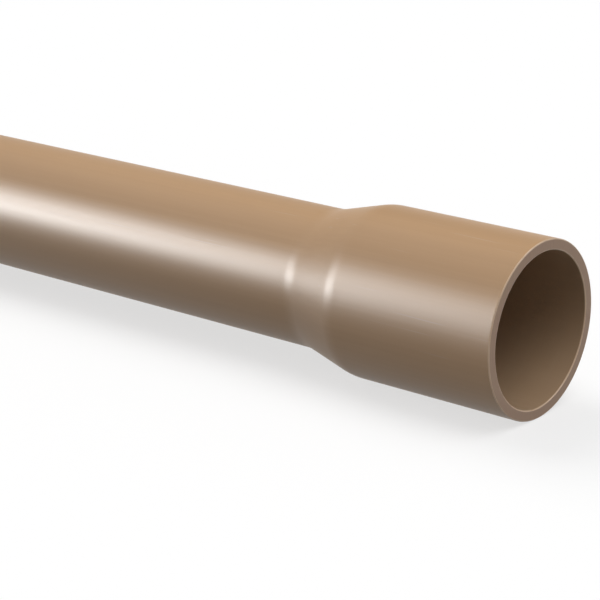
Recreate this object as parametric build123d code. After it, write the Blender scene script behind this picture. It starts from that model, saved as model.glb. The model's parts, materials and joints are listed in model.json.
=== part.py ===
# One length of brown solvent-weld PVC pressure pipe: a plain barrel with a socket formed on one end.
# Millimetres, +Z up. The pipe lies along X, its socket mouth at the +X end, and the floor is z = 0.

import os
from math import atan2, cos, sin, tan

from build123d import *

# The barrel is extruded at the size that the trade calls 25 mm, and sold in lengths of 3 m.
PIPE_LENGTH = 3000.0
PIPE_RADIUS = 12.5
WALL = 1.9

# The end is heated and pushed over a mandrel, which leaves a straight socket for the next pipe.
SOCKET_RADIUS = 13.35
SOCKET_DEPTH = 32.8

# The cone between them, corner to corner along the pipe, and the rounding of its two outside corners.
SHOULDER_LENGTH = 10.4
THROAT_RADIUS = 10.6
CROWN_RADIUS = 10.0

# The mouth's two edges are dulled by the forming, and the sawn end has its burr taken off.
MOUTH_EDGE_RADIUS = 0.2
SAWN_EDGE_CHAMFER = 0.3

bell_radius = SOCKET_RADIUS + WALL
mouth_x = PIPE_LENGTH / 2
sawn_x = -PIPE_LENGTH / 2
crown_x = mouth_x - SOCKET_DEPTH
throat_x = crown_x - SHOULDER_LENGTH
axis_z = bell_radius

# The cone's slope, and the centres of the arcs that take its outside line out of and into the straights.
slope = atan2(bell_radius - PIPE_RADIUS, SHOULDER_LENGTH)
throat_start = throat_x - THROAT_RADIUS * tan(slope / 2)
throat_centre_height = PIPE_RADIUS + THROAT_RADIUS
crown_end = crown_x + CROWN_RADIUS * tan(slope / 2)
crown_centre_height = bell_radius - CROWN_RADIUS


def wall_line(inset):
    """The pipe's outside line from sawn end to mouth, or the line that runs inset mm under it."""
    throat = THROAT_RADIUS + inset
    crown = CROWN_RADIUS - inset

    def on_throat(angle):
        return (throat_start + throat * sin(angle), throat_centre_height - throat * cos(angle))

    def on_crown(angle):
        return (crown_end - crown * sin(angle), crown_centre_height + crown * cos(angle))

    return [
        Line((sawn_x, PIPE_RADIUS - inset), on_throat(0)),
        ThreePointArc(on_throat(0), on_throat(slope / 2), on_throat(slope)),
        Line(on_throat(slope), on_crown(slope)),
        ThreePointArc(on_crown(slope), on_crown(slope / 2), on_crown(0)),
        Line(on_crown(0), (mouth_x, bell_radius - inset)),
    ]


outside = wall_line(0)
inside = wall_line(WALL)
sawn_face = Line((sawn_x, PIPE_RADIUS - WALL), (sawn_x, PIPE_RADIUS))
mouth_face = Line((mouth_x, bell_radius - WALL), (mouth_x, bell_radius))
section = make_face([*outside, *inside, sawn_face, mouth_face])

# The section's corners are treated before it is turned, so that the edges come out as true rings.
mouth_corners = [corner for corner in section.vertices() if corner.X > mouth_x - 0.01]
section = fillet(mouth_corners, radius=MOUTH_EDGE_RADIUS)
sawn_corners = [corner for corner in section.vertices() if corner.X < sawn_x + 0.01]
section = chamfer(sawn_corners, length=SAWN_EDGE_CHAMFER)

pipe = Pos(0, 0, axis_z) * revolve(section, axis=Axis.X, revolution_arc=360)

os.makedirs("parts", exist_ok=True)
export_step(pipe, "parts/pipe.step")
print("pipe", pipe.bounding_box(), "volume mm3", round(pipe.volume, 1), "valid", pipe.is_valid)
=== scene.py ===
# One length of brown PVC pressure pipe with a formed socket, lying on a pale floor in soft light.
# Metres, +Z up. The pipe lies along X, its socket mouth at the +X end.

import json
import math

import bmesh
import bpy
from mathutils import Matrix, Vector


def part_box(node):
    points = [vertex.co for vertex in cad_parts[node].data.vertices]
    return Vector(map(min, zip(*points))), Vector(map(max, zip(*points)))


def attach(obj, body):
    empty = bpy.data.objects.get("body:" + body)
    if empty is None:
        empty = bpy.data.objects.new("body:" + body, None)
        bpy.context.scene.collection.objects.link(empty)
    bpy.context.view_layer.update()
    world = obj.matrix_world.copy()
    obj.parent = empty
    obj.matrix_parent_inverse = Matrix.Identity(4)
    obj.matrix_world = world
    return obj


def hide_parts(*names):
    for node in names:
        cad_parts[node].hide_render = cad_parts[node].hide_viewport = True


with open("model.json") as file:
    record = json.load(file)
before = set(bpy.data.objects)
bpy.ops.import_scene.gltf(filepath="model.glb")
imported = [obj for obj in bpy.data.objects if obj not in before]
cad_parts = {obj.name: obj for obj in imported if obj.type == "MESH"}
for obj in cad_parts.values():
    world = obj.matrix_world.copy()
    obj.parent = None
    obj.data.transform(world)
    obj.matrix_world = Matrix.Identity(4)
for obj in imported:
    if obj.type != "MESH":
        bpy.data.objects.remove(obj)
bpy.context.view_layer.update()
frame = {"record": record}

# The pipe's shape: rigid PVC, extruded in one piece. Its end was heated and pushed over a mandrel, which
# left a socket with the barrel's own wall, a short cone behind it, and a mouth with dulled edges.

MM = 0.001
mount_sizes = {mount["name"]: mount["dims"] for mount in frame["record"]["mounts"]}
barrel_radius = mount_sizes["spigot"]["r_mm"] * MM
bore_radius = mount_sizes["waterway"]["r_mm"] * MM
socket_radius = mount_sizes["socket"]["r_mm"] * MM
wall = barrel_radius - bore_radius
bell_radius = socket_radius + wall
axis_z = bell_radius
sawn_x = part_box("pipe")[0][0]
mouth_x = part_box("pipe")[1][0]

SOCKET_DEPTH = 32.8 * MM
SHOULDER_LENGTH = 10.4 * MM
THROAT_RADIUS = 10.6 * MM
CROWN_RADIUS = 10.0 * MM
MOUTH_EDGE_RADIUS = 0.2 * MM
SAWN_EDGE_CHAMFER = 0.3 * MM

# A ring this near the end of a straight keeps its shading straight up to the bend.
HOLDING_GAP = 0.05 * MM
BARREL_RING_GAP = 100 * MM
CONE_PARTS = 6
SOCKET_PARTS = 12
CUT_PARTS = 4
BEND_STEPS = 14
EDGE_STEPS = 6
STEPS_ROUND = 240
SHARP_ANGLE = math.radians(30)

crown_x = mouth_x - SOCKET_DEPTH
throat_x = crown_x - SHOULDER_LENGTH
slope = math.atan2(bell_radius - barrel_radius, SHOULDER_LENGTH)
throat_start = throat_x - THROAT_RADIUS * math.tan(slope / 2)
crown_end = crown_x + CROWN_RADIUS * math.tan(slope / 2)


def bend(centre_x, centre_radius, radius, start_angle, end_angle, steps):
    """Points round a bend of the wall's section. Angle 0 looks outwards, and pi / 2 towards the mouth."""
    points = []
    for step in range(steps + 1):
        angle = start_angle + (end_angle - start_angle) * step / steps
        points.append((centre_x + radius * math.sin(angle), centre_radius + radius * math.cos(angle)))
    return points


def straight(start, end, parts):
    """Points between two ends of a straight, with a holding ring next to each end."""
    start, end = Vector(start), Vector(end)
    step = (end - start).normalized() * HOLDING_GAP
    inner_start, inner_end = start + step, end - step
    return [tuple(inner_start.lerp(inner_end, part / parts)) for part in range(parts + 1)]


def joined(first_run, later_runs):
    """One line of points from runs that follow each other, with a straight of so many parts before each."""
    line = list(first_run)
    for run, parts in later_runs:
        line += straight(line[-1], run[0], parts) + list(run)
    return line


def wall_line(inset, sawn_end, mouth_end):
    """The wall's line from the sawn end to the mouth, inset under its outside."""
    throat = bend(throat_start, barrel_radius + THROAT_RADIUS, THROAT_RADIUS + inset,
                  math.pi, math.pi - slope, BEND_STEPS)
    crown = bend(crown_end, bell_radius - CROWN_RADIUS, CROWN_RADIUS - inset, -slope, 0, BEND_STEPS)
    barrel_parts = round((throat_start - sawn_x) / BARREL_RING_GAP)
    return joined(sawn_end, [(throat, barrel_parts), (crown, CONE_PARTS), (mouth_end, SOCKET_PARTS)])


edge_x = mouth_x - MOUTH_EDGE_RADIUS
outer_edge = bend(edge_x, bell_radius - MOUTH_EDGE_RADIUS, MOUTH_EDGE_RADIUS, 0, math.pi / 2, EDGE_STEPS)
inner_edge = bend(edge_x, socket_radius + MOUTH_EDGE_RADIUS, MOUTH_EDGE_RADIUS,
                  math.pi, math.pi / 2, EDGE_STEPS)
outer_cut = [(sawn_x, barrel_radius - SAWN_EDGE_CHAMFER), (sawn_x + SAWN_EDGE_CHAMFER, barrel_radius)]
inner_cut = [(sawn_x, bore_radius + SAWN_EDGE_CHAMFER), (sawn_x + SAWN_EDGE_CHAMFER, bore_radius)]
outside = wall_line(0, outer_cut, outer_edge)
inside = wall_line(wall, inner_cut, inner_edge)
rim = straight(outer_edge[-1], inner_edge[-1], CUT_PARTS)
saw_cut = straight(inner_cut[0], outer_cut[0], CUT_PARTS)
section = outside + rim + inside[::-1] + saw_cut

# Where each stretch of the section ends, counted in its points.
skin_end = len(outside) - 1
rim_end = skin_end + len(rim) + 1
bore_end = rim_end + len(inside) - 1

# The map for baking onto, in shares of its side. The skin and the bore have a band each, with more
# room lengthwise for the two ends, and each cut face has a narrow strip.
SKIN_BAND = (0.005, 0.495)
BORE_BAND = (0.505, 0.925)
MOUTH_BAND = (0.935, 0.962)
SAWN_BAND = (0.97, 0.997)
SAWN_END_LENGTH = 30 * MM
THROAT_LEAD = 10 * MM
MAP_PLACES = [(sawn_x, 0.005), (sawn_x + SAWN_END_LENGTH, 0.105),
              (throat_start - THROAT_LEAD, 0.655), (mouth_x, 0.995)]


def along_map(x):
    """How far along the map a place on the pipe's length lies."""
    for (start, from_u), (end, to_u) in zip(MAP_PLACES, MAP_PLACES[1:]):
        if x <= end:
            return from_u + (to_u - from_u) * (x - start) / (end - start)
    return MAP_PLACES[-1][1]


def across(band, share):
    """A place across a band of the map."""
    return band[0] + (band[1] - band[0]) * share


def on_map(index, point, turn_share):
    """The map's place for a corner of a face. index says in which stretch of the section the face is."""
    x, radius = point
    if index < skin_end:
        return along_map(x), across(SKIN_BAND, turn_share)
    if index < rim_end:
        return turn_share, across(MOUTH_BAND, (radius - socket_radius) / wall)
    if index < bore_end:
        return along_map(x), across(BORE_BAND, turn_share)
    return turn_share, across(SAWN_BAND, (radius - bore_radius) / wall)


# The finishes, in the order in which their sections add them to the mesh.
SKIN_FINISH, BORE_FINISH, CUT_FINISH, EDGE_FINISH = 0, 1, 2, 3

# The section is turned about the pipe's axis, one ring to each of its points, from the pipe's lowest line.
pipe_mesh = bpy.data.meshes.new("pvc_pipe")
build = bmesh.new()
bake_map = build.loops.layers.uv.new("OFBake")
rings = []
for x, radius in section:
    ring = []
    for step in range(STEPS_ROUND):
        turn = 2 * math.pi * step / STEPS_ROUND
        ring.append(build.verts.new((x, -radius * math.sin(turn), axis_z - radius * math.cos(turn))))
    rings.append(ring)
for index, ring in enumerate(rings):
    after_index = (index + 1) % len(rings)
    following = rings[after_index]
    finish = CUT_FINISH
    if skin_end - EDGE_STEPS <= index < skin_end or rim_end <= index < rim_end + EDGE_STEPS:
        finish = EDGE_FINISH
    elif 0 < index < skin_end:
        finish = SKIN_FINISH
    elif rim_end < index < bore_end - 1:
        finish = BORE_FINISH
    for step in range(STEPS_ROUND):
        after = (step + 1) % STEPS_ROUND
        face = build.faces.new((ring[step], following[step], following[after], ring[after]))
        face.material_index = finish
        corners = [(index, step), (after_index, step), (after_index, step + 1), (index, step + 1)]
        for loop, (corner_index, corner_step) in zip(face.loops, corners):
            loop[bake_map].uv = on_map(index, section[corner_index], corner_step / STEPS_ROUND)
bmesh.ops.recalc_face_normals(build, faces=build.faces)
build.to_mesh(pipe_mesh)
build.free()
pipe_mesh.polygons.foreach_set("use_smooth", [True] * len(pipe_mesh.polygons))
pipe_mesh.set_sharp_from_angle(angle=SHARP_ANGLE)
pipe = bpy.data.objects.new("pvc_pipe", pipe_mesh)
bpy.context.collection.objects.link(pipe)
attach(pipe, "root")
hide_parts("pipe")


# The pipe's skin: unplasticised PVC, coloured brown all through and left as the die drew it. The eye gets
# a warm tan with a soft satin highlight, and close up the fine lines that the die leaves along the pipe.
def linear(hex_colour):
    """An sRGB hex colour as the linear values that Blender works in."""
    channels = [int(hex_colour[i:i + 2], 16) / 255 for i in (1, 3, 5)]
    return [c / 12.92 if c <= 0.04045 else ((c + 0.055) / 1.055) ** 2.4 for c in channels] + [1.0]


def add_node(tree, kind, settings, links):
    """Adds a node. settings are its own properties and input values, links say what feeds which input."""
    node = tree.nodes.new(kind)
    for name, value in settings.items():
        if isinstance(name, int) or name in node.inputs:
            node.inputs[name].default_value = value
        else:
            setattr(node, name, value)
    for name, source in links.items():
        tree.links.new(source, node.inputs[name])
    return node


def cells_of(along, across_y, across_z):
    """The scale of the pipe's own coordinates at which a pattern's cells have these sizes in millimetres."""
    return [1 / (size * MM) for size in (along, across_y, across_z)]


# A Mix node keeps its colours in inputs 6 and 7, and gives them on output 2.
COLOUR_A, COLOUR_B, COLOUR_OUT = 6, 7, 2
# Nearly all values of a noise lie in this range.
NOISE_RANGE = {"From Min": 0.3, "From Max": 0.7}

PVC_IOR = 1.53
SKIN_BROWN_DARK = "#AF885E"
SKIN_BROWN_LIGHT = "#C19A70"
SKIN_RUBBED = "#BF9F80"
SKIN_ROUGHNESS = (0.4, 0.43)
# The pigment is stirred in evenly, and drawn out by the screw and the die into patches this size.
PIGMENT_CELLS = cells_of(160, 9, 9)
# Real die lines are 0.1 to 1 mm apart and some 0.01 mm deep. The finest would be lost between pixels, so
# only the coarser ones are drawn. The colour follows the pigment for the most part, and the lines a little.
DIE_LINE_CELLS = cells_of(700, 0.8, 0.8)
DIE_LINE_DEPTH = 0.006 * MM
DIE_LINE_SHARE = 0.5
# The skin's real grain is well under a millimetre. It is drawn coarser, so that it shows.
GRAIN_CELLS = cells_of(1.1, 1.1, 1.1)
GRAIN_DEPTH = 0.004 * MM
# Stacking rubs thin pale marks along the skin, in patches: the highest places of two patterns.
RUB_MARK_CELLS = cells_of(16, 0.45, 0.45)
RUB_MARK_RANGE = {"From Min": 0.68, "From Max": 0.82}
RUB_PATCH_CELLS = cells_of(70, 12, 12)
RUB_PATCH_RANGE = {"From Min": 0.45, "From Max": 0.65}
RUB_ROUGHNESS = 0.08
# Each pattern's cells, its layers of finer detail, and each layer's strength beside the one before it.
SKIN_PATTERNS = ((PIGMENT_CELLS, 3.0, 0.5), (DIE_LINE_CELLS, 3.0, 0.6), (GRAIN_CELLS, 2.0, 0.5),
                 (RUB_MARK_CELLS, 1.0, 0.5), (RUB_PATCH_CELLS, 1.0, 0.5))

pvc = bpy.data.materials.new("extruded_brown_pvc")
pvc.use_nodes = True
tree = pvc.node_tree
place = add_node(tree, "ShaderNodeTexCoord", {}, {}).outputs["Object"]
patterns = []
for cells, layers, layer_strength in SKIN_PATTERNS:
    spread = add_node(tree, "ShaderNodeMapping", {"Scale": cells}, {"Vector": place})
    noise = add_node(tree, "ShaderNodeTexNoise",
                     {"Scale": 1.0, "Detail": layers, "Roughness": layer_strength},
                     {"Vector": spread.outputs[0]})
    patterns.append(noise.outputs[0])
pigment, lines, grain, rub_noise, patch_noise = patterns
rub_marks = add_node(tree, "ShaderNodeMapRange", RUB_MARK_RANGE, {"Value": rub_noise})
rub_patches = add_node(tree, "ShaderNodeMapRange", RUB_PATCH_RANGE, {"Value": patch_noise})
rubbed = add_node(tree, "ShaderNodeMath", {"operation": "MULTIPLY"},
                  {0: rub_marks.outputs[0], 1: rub_patches.outputs[0]})
line_share = add_node(tree, "ShaderNodeMath",
                      {"operation": "MULTIPLY_ADD", 1: DIE_LINE_SHARE, 2: -DIE_LINE_SHARE / 2}, {0: lines})
shade = add_node(tree, "ShaderNodeMath", {"operation": "ADD"}, {0: pigment, 1: line_share.outputs[0]})
brown = add_node(tree, "ShaderNodeMix", {"data_type": "RGBA", COLOUR_A: linear(SKIN_BROWN_DARK),
                                         COLOUR_B: linear(SKIN_BROWN_LIGHT)}, {"Factor": shade.outputs[0]})
worn = add_node(tree, "ShaderNodeMix", {"data_type": "RGBA", COLOUR_B: linear(SKIN_RUBBED)},
                {"Factor": rubbed.outputs[0], COLOUR_A: brown.outputs[COLOUR_OUT]})
dulled = add_node(tree, "ShaderNodeMapRange",
                  {**NOISE_RANGE, "To Min": SKIN_ROUGHNESS[0], "To Max": SKIN_ROUGHNESS[1]}, {"Value": lines})
roughness = add_node(tree, "ShaderNodeMath", {"operation": "MULTIPLY_ADD", 1: RUB_ROUGHNESS},
                     {0: rubbed.outputs[0], 2: dulled.outputs[0]})
line_bump = add_node(tree, "ShaderNodeBump", {"Distance": DIE_LINE_DEPTH}, {"Height": lines})
grain_bump = add_node(tree, "ShaderNodeBump", {"Distance": GRAIN_DEPTH},
                      {"Height": grain, "Normal": line_bump.outputs[0]})
skin = tree.nodes["Principled BSDF"]
skin.inputs["IOR"].default_value = PVC_IOR
tree.links.new(worn.outputs[COLOUR_OUT], skin.inputs["Base Color"])
tree.links.new(roughness.outputs[0], skin.inputs["Roughness"])
tree.links.new(grain_bump.outputs[0], skin.inputs["Normal"])
pipe_mesh.materials.append(pvc)

# The bore and the socket's inside: the same PVC, which cooled against air and against the mandrel instead
# of the sizing sleeve. It is duller, with faint rings where the mandrel gripped, and its colour is a little
# greyer than the skin's: painted shade for the dim, less coloured look inside the bore.
# Greyer browns that paint shade into the bore.
BORE_BROWN_AND_SHADE_DARK = "#AA8D6F"
BORE_BROWN_AND_SHADE_LIGHT = "#B89B7D"
BORE_ROUGHNESS = (0.44, 0.54)
MANDREL_RING_CELLS = cells_of(2.2, 90, 90)
MANDREL_RING_DEPTH = 0.02 * MM
MANDREL_RING_SHARE = 0.4
BORE_PATTERNS = ((PIGMENT_CELLS, 3.0, 0.5), (DIE_LINE_CELLS, 3.0, 0.6), (MANDREL_RING_CELLS, 2.0, 0.5))

bore = bpy.data.materials.new("mandrel_formed_pvc_with_painted_shade")
bore.use_nodes = True
tree = bore.node_tree
place = add_node(tree, "ShaderNodeTexCoord", {}, {}).outputs["Object"]
patterns = []
for cells, layers, layer_strength in BORE_PATTERNS:
    spread = add_node(tree, "ShaderNodeMapping", {"Scale": cells}, {"Vector": place})
    noise = add_node(tree, "ShaderNodeTexNoise",
                     {"Scale": 1.0, "Detail": layers, "Roughness": layer_strength},
                     {"Vector": spread.outputs[0]})
    patterns.append(noise.outputs[0])
pigment, lines, ring_marks = patterns
ring_share = add_node(tree, "ShaderNodeMath",
                      {"operation": "MULTIPLY_ADD", 1: MANDREL_RING_SHARE, 2: -MANDREL_RING_SHARE / 2},
                      {0: ring_marks})
shade = add_node(tree, "ShaderNodeMath", {"operation": "ADD"}, {0: pigment, 1: ring_share.outputs[0]})
# The painted shade: the bore's greyer colour.
brown = add_node(tree, "ShaderNodeMix", {"data_type": "RGBA", COLOUR_A: linear(BORE_BROWN_AND_SHADE_DARK),
                                         COLOUR_B: linear(BORE_BROWN_AND_SHADE_LIGHT)}, {"Factor": shade.outputs[0]})
dulled = add_node(tree, "ShaderNodeMapRange",
                  {**NOISE_RANGE, "To Min": BORE_ROUGHNESS[0], "To Max": BORE_ROUGHNESS[1]}, {"Value": lines})
line_bump = add_node(tree, "ShaderNodeBump", {"Distance": DIE_LINE_DEPTH}, {"Height": lines})
ring_bump = add_node(tree, "ShaderNodeBump", {"Distance": MANDREL_RING_DEPTH},
                     {"Height": ring_marks, "Normal": line_bump.outputs[0]})
inner_skin = tree.nodes["Principled BSDF"]
inner_skin.inputs["IOR"].default_value = PVC_IOR
tree.links.new(brown.outputs[COLOUR_OUT], inner_skin.inputs["Base Color"])
tree.links.new(dulled.outputs[0], inner_skin.inputs["Roughness"])
tree.links.new(ring_bump.outputs[0], inner_skin.inputs["Normal"])
pipe_mesh.materials.append(bore)

# The two cut faces: sawn straight across and dulled with a scraper. Sawing breaks the satin skin, so the
# cut looks greyer and duller than the rest, with the saw's fine straight marks across it.
CUT_BROWN_DARK = "#A98A73"
CUT_BROWN_LIGHT = "#B99A83"
CUT_ROUGHNESS = (0.5, 0.62)
# The teeth leave marks about 0.3 mm apart, which run the blade's way, across the pipe and a little aslant.
SAW_MARK_CELLS = cells_of(20, 0.3, 30)
SAW_MARK_SLANT = math.radians(20)
SAW_MARK_DEPTH = 0.015 * MM

cut = bpy.data.materials.new("sawn_brown_pvc")
cut.use_nodes = True
tree = cut.node_tree
place = add_node(tree, "ShaderNodeTexCoord", {}, {}).outputs["Object"]
mark_place = add_node(tree, "ShaderNodeMapping",
                      {"Rotation": (SAW_MARK_SLANT, 0, 0), "Scale": SAW_MARK_CELLS}, {"Vector": place})
marks = add_node(tree, "ShaderNodeTexNoise", {"Scale": 1.0, "Detail": 3.0},
                 {"Vector": mark_place.outputs[0]}).outputs[0]
brown = add_node(tree, "ShaderNodeMix", {"data_type": "RGBA", COLOUR_A: linear(CUT_BROWN_DARK),
                                         COLOUR_B: linear(CUT_BROWN_LIGHT)}, {"Factor": marks})
dulled = add_node(tree, "ShaderNodeMapRange",
                  {**NOISE_RANGE, "To Min": CUT_ROUGHNESS[0], "To Max": CUT_ROUGHNESS[1]}, {"Value": marks})
mark_bump = add_node(tree, "ShaderNodeBump", {"Distance": SAW_MARK_DEPTH}, {"Height": marks})
sawn_skin = tree.nodes["Principled BSDF"]
sawn_skin.inputs["IOR"].default_value = PVC_IOR
tree.links.new(brown.outputs[COLOUR_OUT], sawn_skin.inputs["Base Color"])
tree.links.new(dulled.outputs[0], sawn_skin.inputs["Roughness"])
tree.links.new(mark_bump.outputs[0], sawn_skin.inputs["Normal"])
pipe_mesh.materials.append(cut)

# The mouth's two edges: rounded when the socket was formed, and a little shinier than the skin. Their pale
# colour is a painted highlight, which with the edge lamp draws a thin light line along them.
# Pale colours that paint a highlight onto the edges.
EDGE_PAINTED_HIGHLIGHT_DARK = "#CCA884"
EDGE_PAINTED_HIGHLIGHT_LIGHT = "#E8CEB2"
EDGE_ROUGHNESS = (0.25, 0.38)
# The painted highlight, the shine and the small bumps vary unevenly along the edges, in stretches a few
# millimetres long.
EDGE_WEAR_AND_SHEEN_CELLS = cells_of(2.5, 2.5, 2.5)
EDGE_WEAR_DEPTH = 0.01 * MM

edge = bpy.data.materials.new("painted_highlight_edge_pvc")
edge.use_nodes = True
tree = edge.node_tree
place = add_node(tree, "ShaderNodeTexCoord", {}, {}).outputs["Object"]
wear_and_sheen_place = add_node(tree, "ShaderNodeMapping", {"Scale": EDGE_WEAR_AND_SHEEN_CELLS}, {"Vector": place})
wear_and_sheen = add_node(tree, "ShaderNodeTexNoise", {"Scale": 1.0, "Detail": 3.0},
                {"Vector": wear_and_sheen_place.outputs[0]}).outputs[0]
# The painted highlight: the edges' pale colour, varied unevenly.
brown = add_node(tree, "ShaderNodeMix", {"data_type": "RGBA", COLOUR_A: linear(EDGE_PAINTED_HIGHLIGHT_DARK),
                                         COLOUR_B: linear(EDGE_PAINTED_HIGHLIGHT_LIGHT)}, {"Factor": wear_and_sheen})
dulled = add_node(tree, "ShaderNodeMapRange",
                  {**NOISE_RANGE, "To Min": EDGE_ROUGHNESS[0], "To Max": EDGE_ROUGHNESS[1]}, {"Value": wear_and_sheen})
wear_bump = add_node(tree, "ShaderNodeBump", {"Distance": EDGE_WEAR_DEPTH}, {"Height": wear_and_sheen})
pale_edge_skin = tree.nodes["Principled BSDF"]
pale_edge_skin.inputs["IOR"].default_value = PVC_IOR
tree.links.new(brown.outputs[COLOUR_OUT], pale_edge_skin.inputs["Base Color"])
tree.links.new(dulled.outputs[0], pale_edge_skin.inputs["Roughness"])
tree.links.new(wear_bump.outputs[0], pale_edge_skin.inputs["Normal"])
pipe_mesh.materials.append(edge)

# The floor: a seamless pale studio floor, matt and a little grey. A glow that only the camera, reflections
# and light through glass see makes it white there, and it keeps the soft shadow. It throws little light up.
FLOOR_SIZE = 60.0
FLOOR_SEEN = "#9D9D9D"
FLOOR_GLOW = 0.66
FLOOR_BOUNCE = "#606060"
FLOOR_ROUGHNESS = 0.9
WHITE = linear("#FFFFFF")

floor_mesh = bpy.data.meshes.new("studio_floor")
half = FLOOR_SIZE / 2
floor_corners = [(-half, -half, 0), (half, -half, 0), (half, half, 0), (-half, half, 0)]
floor_mesh.from_pydata(floor_corners, [], [(0, 1, 2, 3)])
floor = bpy.data.objects.new("studio_floor", floor_mesh)
bpy.context.collection.objects.link(floor)

paper = bpy.data.materials.new("pale_floor")
paper.use_nodes = True
tree = paper.node_tree
path = add_node(tree, "ShaderNodeLightPath", {}, {})
seen = add_node(tree, "ShaderNodeMath", {"operation": "MAXIMUM"},
                {0: path.outputs["Is Camera Ray"], 1: path.outputs["Is Glossy Ray"]})
seen_or_through = add_node(tree, "ShaderNodeMath", {"operation": "MAXIMUM"},
                           {0: seen.outputs[0], 1: path.outputs["Is Transmission Ray"]}).outputs[0]
tone = add_node(tree, "ShaderNodeMix", {"data_type": "RGBA", COLOUR_A: linear(FLOOR_BOUNCE),
                                        COLOUR_B: linear(FLOOR_SEEN)}, {"Factor": seen_or_through})
glow = add_node(tree, "ShaderNodeMath", {"operation": "MULTIPLY", 1: FLOOR_GLOW}, {0: seen_or_through})
matt = tree.nodes["Principled BSDF"]
matt.inputs["Roughness"].default_value = FLOOR_ROUGHNESS
matt.inputs["Specular IOR Level"].default_value = 0.0
matt.inputs["Emission Color"].default_value = WHITE
tree.links.new(tone.outputs[COLOUR_OUT], matt.inputs["Base Color"])
tree.links.new(glow.outputs[0], matt.inputs["Emission Strength"])
floor_mesh.materials.append(paper)

# The sky: a studio's even pale walls, which light the pipe from all round. Low down, where the floor ends,
# the camera, reflections and light through glass see it white, so that the floor has no horizon.
SKY_STRENGTH = 0.36
WHITE_STRENGTH = 1.0
WHITE_UP_TO = math.radians(8)
PLAIN_FROM = math.radians(14)

world = bpy.data.worlds.new("studio")
bpy.context.scene.world = world
world.use_nodes = True
tree = world.node_tree
path = add_node(tree, "ShaderNodeLightPath", {}, {})
direction = add_node(tree, "ShaderNodeTexCoord", {}, {})
height = add_node(tree, "ShaderNodeSeparateXYZ", {}, {"Vector": direction.outputs["Generated"]})
backdrop = add_node(tree, "ShaderNodeMapRange", {
    "interpolation_type": "SMOOTHSTEP", "From Min": math.sin(WHITE_UP_TO), "From Max": math.sin(PLAIN_FROM),
    "To Min": WHITE_STRENGTH, "To Max": SKY_STRENGTH}, {"Value": height.outputs["Z"]})
seen = add_node(tree, "ShaderNodeMath", {"operation": "MAXIMUM"},
                {0: path.outputs["Is Camera Ray"], 1: path.outputs["Is Glossy Ray"]})
seen_or_through = add_node(tree, "ShaderNodeMath", {"operation": "MAXIMUM"},
                           {0: seen.outputs[0], 1: path.outputs["Is Transmission Ray"]}).outputs[0]
level = add_node(tree, "ShaderNodeMix", {"data_type": "FLOAT", "A": SKY_STRENGTH},
                 {"Factor": seen_or_through, "B": backdrop.outputs["Result"]})
sky = tree.nodes["Background"]
sky.inputs["Color"].default_value = WHITE
tree.links.new(level.outputs[0], sky.inputs["Strength"])


# The lamps: a broad soft one high on either side lights the surface and doesn't show in its gloss. Three more
# show in the gloss alone: two low on the camera's left draw the long highlight, and one high on its right
# draws the pale lines on the mouth's edges, over their painted highlight.
def soft_sun(name, towards, strength, width_degrees):
    """A distant round lamp that stands in this direction from the object."""
    lamp = bpy.data.lights.new(name, "SUN")
    lamp.energy = strength
    lamp.angle = math.radians(width_degrees)
    lamp_object = bpy.data.objects.new(name, lamp)
    lamp_object.rotation_mode = "QUATERNION"
    lamp_object.rotation_quaternion = Vector(towards).to_track_quat("Z", "Y")
    bpy.context.collection.objects.link(lamp_object)
    return lamp_object


left_light = soft_sun("left_soft_light", towards=(-0.65, 0.115, 0.751), strength=1.46, width_degrees=45)
right_light = soft_sun("right_soft_light", towards=(0.423, -0.05, 0.905), strength=1.05, width_degrees=45)
for surface_light in (left_light, right_light):
    surface_light.visible_glossy = False
low_gloss = soft_sun("low_highlight", towards=(-0.775, -0.63, 0.05), strength=4.35, width_degrees=19)
high_gloss = soft_sun("high_highlight", towards=(-0.69, -0.635, 0.347), strength=2.15, width_degrees=19)
edge_gloss = soft_sun("edge_highlight", towards=(0.58, 0.4, 0.71), strength=1.3, width_degrees=40)
for gloss_light in (low_gloss, high_gloss, edge_gloss):
    gloss_light.visible_diffuse = False

# The camera: it stands near the mouth, looks down at it and back along the pipe, and has a long lens.
# Its sight turns from the pipe's axis and drops below level. Lens and sensor are in millimetres, and the
# mouth's centre lies so far ahead of the camera, to its right and below its line of sight.
LENS = 122.9
SENSOR = 36.0
SIGHT_TURN = math.radians(50.73)
SIGHT_DROP = math.radians(18.11)
MOUTH_AHEAD = 332.69 * MM
MOUTH_RIGHT = 39.29 * MM
MOUTH_DOWN = 4.98 * MM
NEAREST_SEEN = 0.01
FURTHEST_SEEN = 100.0

sight = Vector((-math.cos(SIGHT_TURN) * math.cos(SIGHT_DROP), math.sin(SIGHT_TURN) * math.cos(SIGHT_DROP),
                -math.sin(SIGHT_DROP)))
sight_right = sight.cross(Vector((0, 0, 1))).normalized()
sight_down = sight.cross(sight_right)
mouth = Vector((mouth_x, 0, axis_z))
camera = bpy.data.objects.new("camera", bpy.data.cameras.new("camera"))
camera.data.sensor_width = SENSOR
camera.data.lens = LENS
camera.data.clip_start = NEAREST_SEEN
camera.data.clip_end = FURTHEST_SEEN
camera.location = mouth - sight * MOUTH_AHEAD - sight_right * MOUTH_RIGHT - sight_down * MOUTH_DOWN
camera.rotation_mode = "QUATERNION"
camera.rotation_quaternion = sight.to_track_quat("-Z", "Y")
bpy.context.collection.objects.link(camera)
bpy.context.scene.camera = camera
bpy.context.scene.view_settings.view_transform = "Standard"
